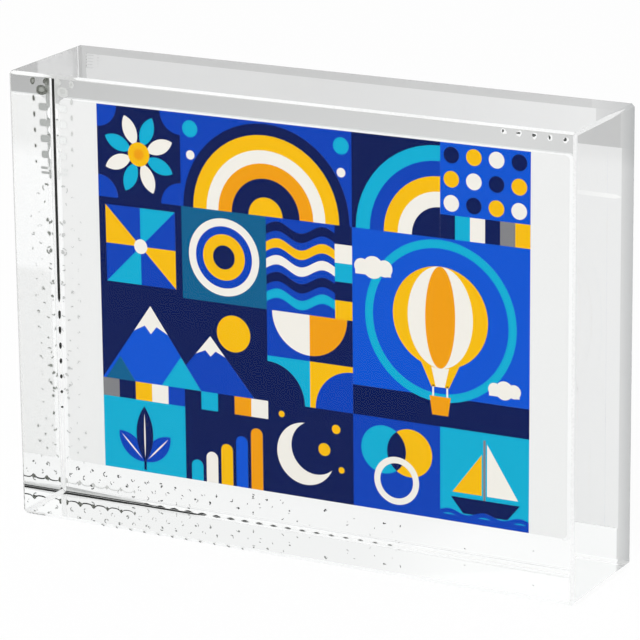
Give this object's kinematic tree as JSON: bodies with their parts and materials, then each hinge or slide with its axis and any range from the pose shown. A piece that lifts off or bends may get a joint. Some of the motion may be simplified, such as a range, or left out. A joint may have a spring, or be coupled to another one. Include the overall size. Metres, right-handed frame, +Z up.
{
  "type": "photo crystal",
  "caption": "Clear rectangular block with chamfered edges that stands on its long narrow face and shows a picture bonded to its back.",
  "frame": {"origin": "middle of the bounding box's bottom, on the surface that the block stands on", "axes": "+X to the viewer's right along the width, +Y from the front face to the picture at the back, +Z up"},
  "size_m": [0.1, 0.0238, 0.075],
  "materials": {
    "clear_block": "clear, polished on all sides",
    "clear_film": "clear film with rows of tiny air pockets",
    "printed_picture": "printed in blues, cyan, yellow and off-white, satin",
    "white_sheet": "off-white, matt"
  },
  "bodies": {
    "root": {"crystal_block": "clear_block", "adhesive_film": "clear_film", "photo_print": "printed_picture", "backing_sheet": "white_sheet"}
  },
  "joints": []
}
